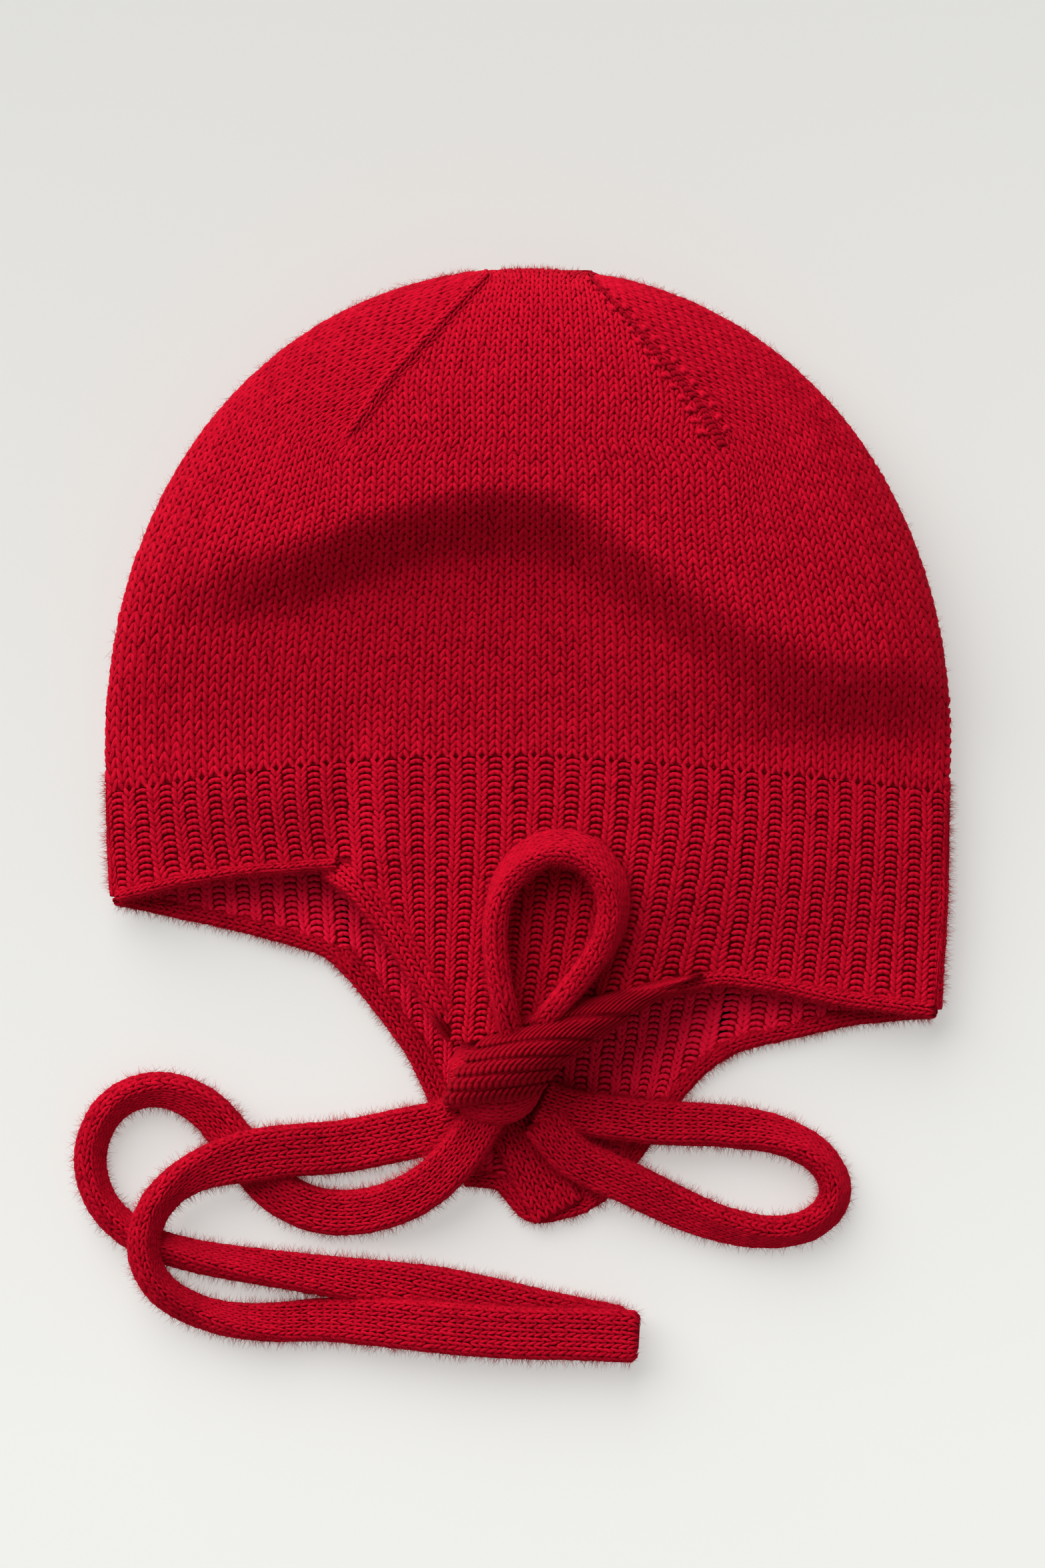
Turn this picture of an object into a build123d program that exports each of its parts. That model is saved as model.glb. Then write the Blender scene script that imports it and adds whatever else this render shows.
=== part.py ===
from build123d import *
import os
from math import cos, pi, radians, sin, tan

# Knit bonnet beanie with two ribbed ear flaps, tied in a bow and laid flat on its side.
# Millimetres. X runs from the brow fold to the nape fold, Y from the ties to the crown,
# Z up from the table that the hat's far side lies on. The origin is on the table, under
# the middle of the hat.

os.makedirs("parts", exist_ok=True)

# ---- driving dimensions -------------------------------------------------------------
knit_thickness = 3.0  # stocking stitch, stitch relief included
flat_width = 250.0  # brow fold to nape fold, laid flat
crown_top_y = 141.0  # top fold of the crown
flap_tip_y = -141.0  # lowest point of the far ear flap
dome_base_y = -1.0  # where the dome meets the straight sides
dome_squareness = 2.1  # exponent of the dome's outline, 2 is an ellipse
side_taper = 3.0  # how far each fold has come in at the nape rim
fold_height = 11.0  # height of the side folds above the table
ridge_height = 50.0  # top of the puffed crown
ridge_y = 76.0
trough_height = 33.0  # bottom of the slack fold below the ridge
trough_y = 48.0
crown_fullness = 2.6  # how square the crown's upper slope is, 2 is an ellipse
rim_height = 23.0  # near layer over the rim and the flaps
rim_level_y = 0.0
crown_roll_y = 118.0  # where the far side starts to turn up towards the crown
fold_roll = 16.0  # how far each side fold curls in under the hat
dome_fullness = 0.85  # exponent of the cross-section, 1 is an ellipse

rib_top_y = -4.0  # ribbing meets stocking stitch
rib_top_rise = 5.0
brow_rim_y = -43.0  # rim at the brow fold
nape_rim_y = -80.0  # rim at the nape fold
flap_front_x = -54.0  # where each flap leaves the brow band
flap_back_x = 54.0  # where each flap leaves the nape band
far_tip_width = 24.0

apex = (3.7, 126.0)  # where the gores meet, rolled over to the far side
apex_fold_left_x = -11.0  # near gore's width where it passes over the top fold
apex_fold_right_x = 18.5
gore_base_left = (-55.0, 83.0)
gore_base_right = (60.0, 81.0)
gore_side_left = (-95.0, 126.0)
gore_side_right = (100.0, 124.0)
seam_width = 2.4  # linked seam between two gores
closure_radius = 6.0

knot_centre = (-9.2, -95.0)
knot_radius = 13.0
knot_top = 27.0
knot_rounding = 5.0
twist_tip = (49.0, -69.0)  # where the near flap's edge starts to roll up
twist_root = (-2.0, -92.0)
twist_tip_size = (7.0, 4.0)  # across and high
twist_root_size = (23.0, 19.0)

tie_width = 14.5  # flat tubular tie
tie_thickness = 6.0
end_cap_length = 4.0  # closed end of each tie
soft_gap = 0.4  # between soft pieces that only lie on each other
crossing_gap = 3.0  # spare height where one tie passes over another
guide_height = 60.0  # line that each tie's band is turned towards, straight above it
upper_tilt = 62.0  # how far each loop's band stands up on its edge, in degrees
side_tilt = 42.0


# ---- hat shell ----------------------------------------------------------------------
def smooth(t):
    """A step from 0 to 1 with level ends."""
    t = min(max(t, 0.0), 1.0)
    return t * t * (3 - 2 * t)


def half_width(y, inset):
    """Half the flat width at a height y, inside the knit by inset."""
    if y <= dome_base_y:
        return flat_width / 2 - inset - side_taper * (dome_base_y - y) / (dome_base_y - nape_rim_y)
    t = (y - dome_base_y) / (crown_top_y - inset - dome_base_y)
    return (flat_width / 2 - inset) * (1 - t**dome_squareness) ** (1 / dome_squareness)


def near_height(y, inset):
    """Top of the near layer along the middle of the hat."""
    if y >= ridge_y:
        t = (y - ridge_y) / (crown_top_y - inset - ridge_y)
        return fold_height + (ridge_height - inset - fold_height) * (1 - t**crown_fullness) ** (1 / crown_fullness)
    if y >= trough_y:
        rise = smooth((y - trough_y) / (ridge_y - trough_y))
        return trough_height + (ridge_height - trough_height) * rise - inset
    rise = smooth((y - rim_level_y) / (trough_y - rim_level_y))
    return rim_height + (trough_height - rim_height) * rise - inset


def far_height(y, inset):
    """Underside of the far layer along the middle of the hat."""
    if y <= crown_roll_y:
        return inset
    t = (y - crown_roll_y) / (crown_top_y - inset - crown_roll_y)
    return fold_height - (fold_height - inset) * (1 - t * t) ** 0.5


def section(y, inset):
    """Closed cross-section of the hat at y: flat on the table, round folds, a dome above."""
    a = half_width(y, inset)
    top = near_height(y, inset)
    low = far_height(y, inset)
    roll = min(fold_roll - inset, 0.8 * a)
    folds = []
    for i in range(1, 6):
        turn = pi / 2 * i / 6
        folds.append((a - roll + roll * sin(turn), fold_height - (fold_height - low) * cos(turn)))
    dome = []
    for i in range(13):
        turn = pi * i / 12
        dome.append((a * cos(turn), fold_height + (top - fold_height) * sin(turn) ** dome_fullness))
    points = [(a - roll, low)] + folds + dome + [(-x, z) for x, z in reversed(folds)] + [(roll - a, low)]
    sides = Edge.make_spline([Vector(x, y, z) for x, z in points])
    return Wire([sides, Edge.make_line(sides @ 1, sides @ 0)])


def blown_form(inset, lowest_y):
    """The hat's outer or inner form as one solid."""
    crown = crown_top_y - inset
    stations = [lowest_y, -60, -20, 0, 16, 32, 44, 54, 64, 74, 84, 94, 104, 113, 121]
    stations += [crown - 14, crown - 9, crown - 5, crown - 2.5, crown - 1]
    return Solid.make_loft([section(y, inset) for y in stations], ruled=True)


shell = blown_form(0, flap_tip_y - 5) - blown_form(knit_thickness, flap_tip_y - 9)

# ---- cutting lines, seen from above ---------------------------------------------------
outside = flat_width / 2 + 15  # beyond the folds
sky = ridge_height + 20
beyond_crown = crown_top_y + 10
tip_corner = (1.0, flap_tip_y)


def curve(*points):
    return Spline(*points)


def straight(*points):
    return Polyline(*points)


def column(low, high, *edges):
    """Upright prism over a closed outline."""
    face = Face(Wire([edge for line in edges for edge in line.edges()]))
    return extrude(Pos(0, 0, low) * face, high - low, dir=(0, 0, 1))


def near(*edges):
    return column(fold_height, sky, *edges)


def far(*edges):
    return column(-1, fold_height, *edges)


rib_top = (
    (-outside, rib_top_y - rib_top_rise),
    (flap_front_x, rib_top_y + 0.6 * rib_top_rise),
    (flap_back_x, rib_top_y),
    (outside, rib_top_y - rib_top_rise),
)
near_front_corner = (flap_front_x, brow_rim_y + 9.5)
far_front_corner = (flap_front_x, brow_rim_y - 18)
near_rib = near(
    curve(*rib_top),
    straight(rib_top[3], (outside, nape_rim_y)),
    curve((outside, nape_rim_y), (95, nape_rim_y + 4.5), (53, nape_rim_y + 14.5), (17, -74), (-20, -88)),
    curve((-20, -88), (-33, -60), near_front_corner),
    curve(near_front_corner, (-87, brow_rim_y + 6.5), (-outside, brow_rim_y)),
    straight((-outside, brow_rim_y), rib_top[0]),
)
far_rib = far(
    curve(*rib_top),
    straight(rib_top[3], (outside, nape_rim_y)),
    curve((outside, nape_rim_y), (98, nape_rim_y - 0.5), (57, nape_rim_y - 9.5), (43, -103)),
    straight((43, -103), (tip_corner[0] + far_tip_width * 0.85, flap_tip_y + 7), tip_corner),
    straight(tip_corner, (-8, -127), (-19, -127), (-26, -99)),
    curve((-26, -99), (-38, -80), far_front_corner),
    curve(far_front_corner, (-87, brow_rim_y - 9), (-outside, brow_rim_y)),
    straight((-outside, brow_rim_y), rib_top[0]),
)

crown_outline = straight(
    gore_side_left,
    gore_base_left,
    gore_base_right,
    gore_side_right,
    (gore_side_right[0], beyond_crown),
    (gore_side_left[0], beyond_crown),
    gore_side_left,
)
left_fold = (apex_fold_left_x, beyond_crown)
right_fold = (apex_fold_right_x, beyond_crown)
near_left_seam = curve(gore_base_left, (-41, 104), (apex_fold_left_x, crown_top_y - 4), left_fold)
near_right_seam = curve(gore_base_right, (50, 99), (apex_fold_right_x, crown_top_y - 4), right_fold)
far_left_seam = curve(gore_base_left, (-31, 107), apex)
far_right_seam = curve(gore_base_right, (37, 106), apex)
far_left_tip = straight(apex, left_fold)
far_right_tip = straight(apex, right_fold)


# ---- hat panels -----------------------------------------------------------------------
def slab(x_low, x_high, z_low, z_high):
    """Block over the whole length of the hat, between two x and two z."""
    middle = Pos((x_low + x_high) / 2, 0, (z_low + z_high) / 2)
    return middle * Box(x_high - x_low, 400, z_high - z_low)


def write(name, solid):
    pieces[name] = solid
    export_step(solid, f"parts/{name}.step")


pieces = {}

ribbing = shell & (near_rib + far_rib)
back_seam_strip = slab(flat_width / 2 - 12, outside, fold_height - seam_width / 2, fold_height + seam_width / 2)
crown = shell & column(-1, sky, crown_outline)
everything_below = (
    curve(*rib_top),
    straight(rib_top[3], (outside, beyond_crown), (-outside, beyond_crown), rib_top[0]),
)
tube = (shell & column(-1, sky, *everything_below)) - column(-1, sky, crown_outline)

near_flap = ribbing & slab(flap_front_x, flap_back_x, fold_height, sky)
far_flap = ribbing & slab(flap_front_x, flap_back_x, -1, fold_height)
brow = ribbing & slab(-outside, flap_front_x, -1, sky)
nape = ribbing & slab(flap_back_x, outside, -1, sky)
back_seam = ((tube & back_seam_strip) + (nape & back_seam_strip)).clean()


def strip(line):
    """Plan of a linked seam that follows a line."""
    return trace(line, seam_width)


def seam_wall(sketch, low, high):
    return extrude(Pos(0, 0, low) * sketch, high - low, dir=(0, 0, 1))


closure_wall = Pos(apex[0], apex[1], fold_height / 2 - 0.5) * Cylinder(closure_radius, fold_height + 1)
seam_walls = {
    "front_left_gore_seam": seam_wall(strip(near_left_seam), fold_height, sky)
    + seam_wall(strip(far_left_tip), -1, fold_height),
    "back_left_gore_seam": seam_wall(strip(near_right_seam), fold_height, sky)
    + seam_wall(strip(far_right_tip), -1, fold_height),
    "front_right_gore_seam": seam_wall(strip(far_left_seam), -1, fold_height),
    "back_right_gore_seam": seam_wall(strip(far_right_seam), -1, fold_height),
}
base_line = straight(gore_base_right, gore_base_left)
gore_columns = {
    "left_crown_gore": near(near_left_seam, straight(left_fold, right_fold), near_right_seam, base_line)
    + far(far_left_tip, straight(left_fold, right_fold), far_right_tip),
    "right_crown_gore": far(far_left_seam, far_right_seam, base_line),
}
corner_left = (-outside, beyond_crown)
corner_right = (outside, beyond_crown)
gore_columns["front_crown_gore"] = near(
    near_left_seam, straight(left_fold, corner_left, (-outside, 83), gore_base_left)
) + far(far_left_seam, far_left_tip, straight(left_fold, corner_left, (-outside, 83), gore_base_left))
gore_columns["back_crown_gore"] = near(
    near_right_seam, straight(right_fold, corner_right, (outside, 81), gore_base_right)
) + far(far_right_seam, far_right_tip, straight(right_fold, corner_right, (outside, 81), gore_base_right))

write("crown_closure", crown & closure_wall)
open_crown = crown - closure_wall
for name, wall in seam_walls.items():
    write(name, open_crown & wall)
for wall in seam_walls.values():
    open_crown = open_crown - wall
for name, gore in gore_columns.items():
    write(name, open_crown & gore)
write("crown_body", tube - back_seam_strip)
write("back_seam", back_seam)
write("brow_rib_band", brow)
write("nape_rib_band", nape - back_seam_strip)
write("right_ear_flap", far_flap)

# ---- knot and the near flap's twisted end ---------------------------------------------
knot_low = knit_thickness + soft_gap
knot_height = knot_top - knot_low
knot = Pos(*knot_centre, knot_low + knot_height / 2) * Cylinder(knot_radius, knot_height)
knot = fillet(knot.edges().filter_by(GeomType.CIRCLE), knot_rounding)

twist_line = Vector(*twist_root) - Vector(*twist_tip)
twist_sections = []
for t in (0, 0.3, 0.65, 1):
    across = twist_tip_size[0] + (twist_root_size[0] - twist_tip_size[0]) * smooth(t * 1.1)
    high = twist_tip_size[1] + (twist_root_size[1] - twist_tip_size[1]) * smooth(t * 1.1)
    centre = Vector(*twist_tip) + twist_line * t + Vector(0, 0, rim_height - high / 2)
    place = Plane(origin=centre, z_dir=twist_line, x_dir=(-twist_line.Y, twist_line.X, 0))
    twist_sections.append(place * Ellipse(across / 2, high / 2))
twist = loft(twist_sections) - knot
write("bow_knot", knot)
write("left_flap_twist", twist)
write("left_ear_flap", near_flap - twist - knot)


# ---- ties -----------------------------------------------------------------------------
def ellipse_height(tilt):
    """Half the height of a tie's section that stands up by tilt."""
    a, b = tie_width / 2, tie_thickness / 2
    return ((a * sin(radians(tilt))) ** 2 + (b * cos(radians(tilt))) ** 2) ** 0.5


def tie(name, route, tilt=0):
    """Flat tubular tie along runs joined by tangent arcs."""
    points = [Vector(*p) for p in route]
    radii = []
    for before, here, after in zip(points, points[1:], points[2:]):
        turn = radians((here - before).get_angle(after - here))
        shorter = min((here - before).length, (after - here).length)
        radii.append(0.45 * shorter / tan(turn / 2))
    path = FilletPolyline(*points, radius=radii).wire()
    ahead = path % 0
    start = Plane(origin=path @ 0, z_dir=ahead, x_dir=(-ahead.Y, ahead.X, 0))
    outline = Rot(0, 0, tilt) * Ellipse(tie_width / 2, tie_thickness / 2)
    overhead = Pos(0, 0, guide_height) * path  # keeps the band's flat side turned to the table
    tube_solid = Solid.sweep((start * outline).face(), path, mode=overhead)
    expected = (start * outline).face().area * path.length
    print(name, f"length {path.length:.1f}", f"volume ratio {tube_solid.volume / expected:.4f}")
    print("  radii", " ".join(f"{r:.0f}" for r in radii))
    write(name, tube_solid)
    return path, tube_solid


def end_cap(name, path, tube_solid):
    """Closed end of a tie, seated face to face on the tube."""
    last = tube_solid.faces().sort_by_distance(path @ 1)[0]
    write(name, extrude(last, end_cap_length, dir=path % 1))


on_table = tie_thickness / 2
on_flap = knit_thickness + soft_gap + tie_thickness / 2
on_tie = tie_thickness + soft_gap + tie_thickness / 2
over_tie = tie_thickness + crossing_gap + tie_thickness / 2
root_over_tie = on_flap + tie_thickness + soft_gap
loop_on_hat = rim_height + soft_gap + ellipse_height(upper_tilt)
loop_on_flap = knit_thickness + soft_gap + ellipse_height(side_tilt)
loop_on_table = ellipse_height(side_tilt)

upper_loop = [
    (-6.6, -76),
    (-9.2, -63),
    (-9.8, -49),
    (-5.5, -36),
    (5.5, -28),
    (18, -30),
    (25.5, -40.5),
    (24.5, -54),
    (16.5, -65.5),
    (8.5, -75),
]
tie("upper_bow_loop", [(x, y, loop_on_hat) for x, y in upper_loop], upper_tilt)

side_loop = [
    (10, -107, loop_on_flap),
    (23, -108.5, loop_on_flap),
    (38, -110.5, loop_on_flap),
    (56, -111, loop_on_table + 0.8),
    (74, -113.5, loop_on_table),
    (87, -120, loop_on_table),
    (92.5, -131, loop_on_table),
    (86, -140.5, loop_on_table),
    (73, -143.5, loop_on_table),
    (58, -141, loop_on_table),
    (44, -135.5, loop_on_table + 0.8),
    (31, -128.5, loop_on_flap),
    (20, -124, loop_on_flap),
    (10, -121.5, loop_on_flap),
]
tie("side_bow_loop", side_loop, side_tilt)

left_tail = [
    (-21, -110.5, on_flap),
    (-37, -114, on_flap - 0.3),
    (-55, -118, on_table + 1),
    (-72, -118.5, over_tie - 3),
    (-86, -120.5, over_tie),
    (-99, -124.5, over_tie),
    (-110, -133.5, over_tie - 1),
    (-114.5, -147, over_tie),
    (-109, -160, over_tie - 2),
    (-95, -168, on_table + 1),
    (-77, -170, on_table),
    (-59, -168.5, on_table + 3),
    (-41, -169.5, on_tie - 1),
    (-22, -171, on_tie + 0.5),
    (-3, -172.5, on_tie),
    (16, -172.5, on_tie),
    (33, -173.5, on_tie),
]
left_path, left_tube = tie("left_tie_tail", left_tail)
end_cap("left_tie_end", left_path, left_tube)

right_tail = [
    (-15, -112, root_over_tie),
    (-21, -121, root_over_tie),
    (-31, -130.5, on_flap + 4),
    (-46, -137, on_table + 2),
    (-62, -137.5, on_table),
    (-76, -130.5, on_table),
    (-86, -117, on_table),
    (-95.5, -105, on_table),
    (-109, -99.5, on_table),
    (-123, -104, on_table),
    (-130.5, -118, on_table),
    (-127.5, -134, on_table),
    (-115, -145.5, on_table),
    (-97, -150.5, on_table),
    (-77, -153.5, on_table),
    (-56, -156.5, on_table),
    (-35, -159, on_table),
    (-13, -163.5, on_table),
    (9, -169, on_table),
    (29, -173, on_table),
]
right_path, right_tube = tie("right_tie_tail", right_tail)
end_cap("right_tie_end", right_path, right_tube)
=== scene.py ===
from math import pi

import bmesh
import bpy
import numpy as np
from mathutils import Matrix, Vector


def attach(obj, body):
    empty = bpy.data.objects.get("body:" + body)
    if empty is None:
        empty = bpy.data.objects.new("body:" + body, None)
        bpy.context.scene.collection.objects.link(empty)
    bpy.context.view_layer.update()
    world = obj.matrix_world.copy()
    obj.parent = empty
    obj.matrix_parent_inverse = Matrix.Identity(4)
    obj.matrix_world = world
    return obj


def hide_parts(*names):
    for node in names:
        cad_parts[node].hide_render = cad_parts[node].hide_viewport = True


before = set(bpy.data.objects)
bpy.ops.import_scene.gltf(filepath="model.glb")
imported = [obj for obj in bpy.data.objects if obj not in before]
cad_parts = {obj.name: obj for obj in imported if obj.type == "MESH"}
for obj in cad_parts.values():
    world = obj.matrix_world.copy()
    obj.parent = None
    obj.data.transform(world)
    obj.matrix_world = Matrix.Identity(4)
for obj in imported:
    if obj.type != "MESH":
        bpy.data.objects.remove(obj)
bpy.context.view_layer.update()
chance = np.random.default_rng(7)


# Camera. It looks straight down on the flat-laid hat, from high enough that the sides hardly show.
# The crown is at the top of the picture.
camera_height = 1.5
seen_length = 0.4657
film_height = 36.0
camera_data = bpy.data.cameras.new("camera")
camera_data.sensor_fit = "VERTICAL"
camera_data.sensor_height = film_height
camera_data.lens = film_height * camera_height / seen_length
camera = bpy.data.objects.new("camera", camera_data)
camera.location = (-0.0015, -0.0103, camera_height)
bpy.context.scene.collection.objects.link(camera)
bpy.context.scene.camera = camera


# Ties. Each is a flat knitted tube of the same red yarn, sewn to the end of an ear flap and tied in a
# bow. Two loops and two tails come out of the knot, and the tails end in a closed, squared tip.
mm = 0.001


class Sum:
    """One value in a material, on which sums can be written."""

    def __init__(self, tree, socket):
        self.tree, self.socket = tree, socket

    def node(self, kind, settings=(), **inputs):
        made = self.tree.nodes.new(kind)
        for name, value in dict(settings).items():
            setattr(made, name, value)
        for name, value in inputs.items():
            key = int(name[1:]) if name[0] == "n" and name[1:].isdigit() else name.replace("_", " ")
            if isinstance(value, Sum):
                self.tree.links.new(value.socket, made.inputs[key])
            else:
                made.inputs[key].default_value = value
        return made

    def maths(self, operation, first, second):
        made = self.node("ShaderNodeMath", {"operation": operation}, n0=first, n1=second)
        return Sum(self.tree, made.outputs[0])

    def __add__(self, other):
        return self.maths("ADD", self, other)

    def __sub__(self, other):
        return self.maths("SUBTRACT", self, other)

    def __mul__(self, other):
        return self.maths("MULTIPLY", self, other)


def red_yarn(name, deep, lit, grain):
    """Soft brushed yarn, mottled by its fibres."""
    material = bpy.data.materials.new(name)
    material.use_nodes = True
    tree = material.node_tree
    surface = tree.nodes["Principled BSDF"]
    start = Sum(tree, None)
    place = Sum(tree, start.node("ShaderNodeTexCoord").outputs["Object"])
    fibres = start.node("ShaderNodeTexNoise", {}, Vector=place, Scale=grain, Detail=3.0, Roughness=0.65)
    fibres = Sum(tree, fibres.outputs["Fac"])
    cloud = start.node("ShaderNodeTexNoise", {}, Vector=place, Scale=320.0, Detail=2.0)
    cloud = Sum(tree, cloud.outputs["Fac"])
    share = fibres * 1.3 + cloud * 0.7 - 0.5
    colour = start.node(
        "ShaderNodeMix", {"data_type": "RGBA", "clamp_factor": True}, n0=share, n6=(*deep, 1), n7=(*lit, 1)
    )
    tree.links.new(colour.outputs[2], surface.inputs["Base Color"])
    bump = start.node("ShaderNodeBump", {}, Height=fibres, Strength=0.5, Distance=0.0004)
    tree.links.new(bump.outputs["Normal"], surface.inputs["Normal"])
    surface.inputs["Roughness"].default_value = 0.95
    surface.inputs["Specular IOR Level"].default_value = 0.05
    return material


yarn = red_yarn("red yarn", (0.37, 0.001, 0.013), (0.68, 0.005, 0.027), 2600.0)
# A darker copy of the red yarn, painted shade: it colours the layer under the stitches, the seam lines, the
# purl valleys and the knot, where shade falls between stitches.
shade_yarn = red_yarn("red yarn ground", (0.24, 0.0006, 0.008), (0.38, 0.0015, 0.012), 1500.0)


def piece(name, mesh, material, body, finish, *nodes):
    """Shows a finished mesh as a piece that rides on a body and stands for CAD nodes."""
    mesh.polygons.foreach_set("use_smooth", np.ones(len(mesh.polygons), bool))
    mesh.materials.append(material)
    mesh.update()
    made = bpy.data.objects.new(name.replace(" ", "_"), mesh)
    bpy.context.scene.collection.objects.link(made)
    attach(made, body)
    if nodes:
        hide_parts(*nodes)
    return made


def copies(shape, count):
    """One mesh with count copies of a small shape, and its points as count x points x 3."""
    bm = bmesh.new()
    shape(bm)
    single = bpy.data.meshes.new("single")
    bm.to_mesh(single)
    bm.free()
    bm = bmesh.new()
    bm.from_mesh(single)
    bpy.data.meshes.remove(single)
    points = len(bm.verts)
    made = 1
    while made < count:
        bmesh.ops.duplicate(bm, geom=bm.verts[:] + bm.edges[:] + bm.faces[:])
        made *= 2
    bm.verts.ensure_lookup_table()
    if made > count:
        bmesh.ops.delete(bm, geom=bm.verts[count * points :], context="VERTS")
    mesh = bpy.data.meshes.new("copies")
    bm.to_mesh(mesh)
    bm.free()
    local = np.empty(len(mesh.vertices) * 3)
    mesh.vertices.foreach_get("co", local)
    return mesh, local.reshape(count, points, 3)


def put(mesh, points):
    """Moves a mesh's points, in millimetres, and turns it the right way out."""
    mesh.vertices.foreach_set("co", (points * mm).reshape(-1).astype(np.float32))
    mesh.update()
    bm = bmesh.new()
    bm.from_mesh(mesh)
    if bm.calc_volume(signed=True) < 0:
        bmesh.ops.reverse_faces(bm, faces=bm.faces[:])
    bm.to_mesh(mesh)
    bm.free()
    return mesh


def knit_stitch(bm):
    """Two plump legs that meet at the bottom, in wales, courses and millimetres."""
    for side in (-1, 1):
        leg = bmesh.ops.create_uvsphere(bm, u_segments=5, v_segments=4, radius=1)["verts"]
        bmesh.ops.rotate(bm, verts=leg, matrix=Matrix.Rotation(pi / 2, 3, "X"))
        bmesh.ops.scale(bm, verts=leg, vec=(0.24, 0.80, 0.62))
        lean = Matrix(((1, side * -0.24, 0), (0, 1, 0), (0, 0, 1)))
        bmesh.ops.transform(bm, verts=leg, matrix=lean.to_4x4())
        bmesh.ops.translate(bm, verts=leg, vec=(side * 0.25, 0, 0))


stitch_wander, stitch_swell, stitch_rise = 0.03, 0.05, 0.06  # how uneven hand-fed knitting is


def stitches(shape, places, surface, height):
    """Knits stitches at places (wale, course) on a surface."""
    mesh, local = copies(shape, len(places))
    wobble = chance.normal(0, stitch_wander, (len(places), 2))
    swell = 1 + chance.normal(0, stitch_swell, (len(places), 1))
    u = local[:, :, 0] * swell + (places[:, :1] + wobble[:, :1])
    v = local[:, :, 1] * swell + (places[:, 1:2] + wobble[:, 1:])
    h = local[:, :, 2] * swell + height + chance.normal(0, stitch_rise, (len(places), 1))
    return put(mesh, surface(u, v, h))


def lifted(plain, sign=1.0):
    """A surface(u, v, h) from plain(u, v), lifted h along its outward side."""

    def surface(u, v, h):
        small = 0.05
        here = plain(u, v)
        across = plain(u + small, v) - plain(u - small, v)
        along = plain(u, v + small) - plain(u, v - small)
        out = np.cross(along, across)
        out /= np.maximum(np.linalg.norm(out, axis=-1, keepdims=True), 1e-9)
        return here + out * h[..., None] * sign

    return surface


tie_width = 14.5
tie_shape = (tie_width, 5.2, 13, 2.3)  # width, thickness, wales round, course
end_round = 3.0


def centreline(name, route):
    """The line that a tie follows, as points in millimetres."""
    curve = bpy.data.curves.new(name, "CURVE")
    curve.dimensions = "3D"
    curve.resolution_u = 16
    spline = curve.splines.new("NURBS")
    spline.points.add(len(route) - 1)
    for point, place in zip(spline.points, route):
        point.co = (*(x * mm for x in place), 1)
    spline.order_u = 3
    spline.use_endpoint_u = True
    drawn = bpy.data.objects.new(name, curve)
    bpy.context.scene.collection.objects.link(drawn)
    line = bpy.data.meshes.new_from_object(drawn)
    points = np.empty(len(line.vertices) * 3)
    line.vertices.foreach_get("co", points)
    bpy.data.objects.remove(drawn)
    bpy.data.curves.remove(curve)
    bpy.data.meshes.remove(line)
    return points.reshape(-1, 3) / mm


def tube_surface(line, shape, tilts, open_end, inset=0.0):
    """Where wale u and course v of a flat tube lie. tilts are (share of length, degrees, share of width)."""
    tube_width, tube_thickness, wales, course = shape
    run = np.concatenate(([0], np.cumsum(np.linalg.norm(np.diff(line, axis=0), axis=1))))
    length = run[-1]
    half_broad, half_thick = tube_width / 2 - inset, tube_thickness / 2 - inset
    flat = half_broad - half_thick
    round_turn = 4 * flat + 2 * pi * half_thick
    shares, degrees, widths = zip(*tilts)

    def along(s):
        return np.stack([np.interp(s, run, line[:, i]) for i in range(3)], -1)

    def plain(u, v):
        s = np.clip(v * course, 0, length)
        centre = along(s)
        ahead = along(np.clip(s + 2.0, 0, length)) - along(np.clip(s - 2.0, 0, length))
        ahead /= np.linalg.norm(ahead, axis=-1, keepdims=True)
        side = np.cross(ahead, [0.0, 0.0, 1.0])
        side /= np.linalg.norm(side, axis=-1, keepdims=True)
        up = np.cross(side, ahead)
        tilt = np.radians(np.interp(s / length, shares, degrees))[..., None]
        narrow = np.interp(s / length, shares, widths)
        wide = np.cos(tilt) * side + np.sin(tilt) * up
        thick = -np.sin(tilt) * side + np.cos(tilt) * up
        turn = (u / wales % 1.0) * round_turn
        arc = pi * half_thick
        on_top = turn < 2 * flat
        on_right = (turn >= 2 * flat) & (turn < 2 * flat + arc)
        on_bottom = (turn >= 2 * flat + arc) & (turn < 4 * flat + arc)
        angle = np.where(on_right, (turn - 2 * flat) / half_thick, (turn - 4 * flat - arc) / half_thick)
        x = np.where(on_top, turn - flat, np.where(on_bottom, flat - (turn - 2 * flat - arc), 0))
        x = np.where(on_right, flat + half_thick * np.sin(angle), x)
        y = np.where(on_top, half_thick, np.where(on_bottom, -half_thick, 0))
        y = np.where(on_right, half_thick * np.cos(angle), y)
        on_left = ~(on_top | on_right | on_bottom)
        x = np.where(on_left, -flat - half_thick * np.sin(angle), x)
        y = np.where(on_left, -half_thick * np.cos(angle), y)
        if open_end:
            left = np.clip((v * course - (length - end_round)) / end_round, 0, 1)
            close = np.sqrt(np.maximum(1 - left * left, 0.0))
            y = y * close
            x = x * (1 - 0.5 * (1 - close))
        x, y = x * narrow, y * (1.5 - 0.5 * narrow)
        tall = half_broad * narrow * np.sin(tilt[..., 0]) + half_thick * np.cos(tilt[..., 0])
        centre = centre + np.stack((0 * s, 0 * s, np.clip(tall + 0.8 - centre[..., 2], 0, 4)), -1)
        return centre + x[..., None] * wide + y[..., None] * thick

    return plain, length


tube_lift = -0.15  # a tube's wales run the other way round, so less is further out
ground_inset, tip_length = 0.7, 4.0


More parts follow.
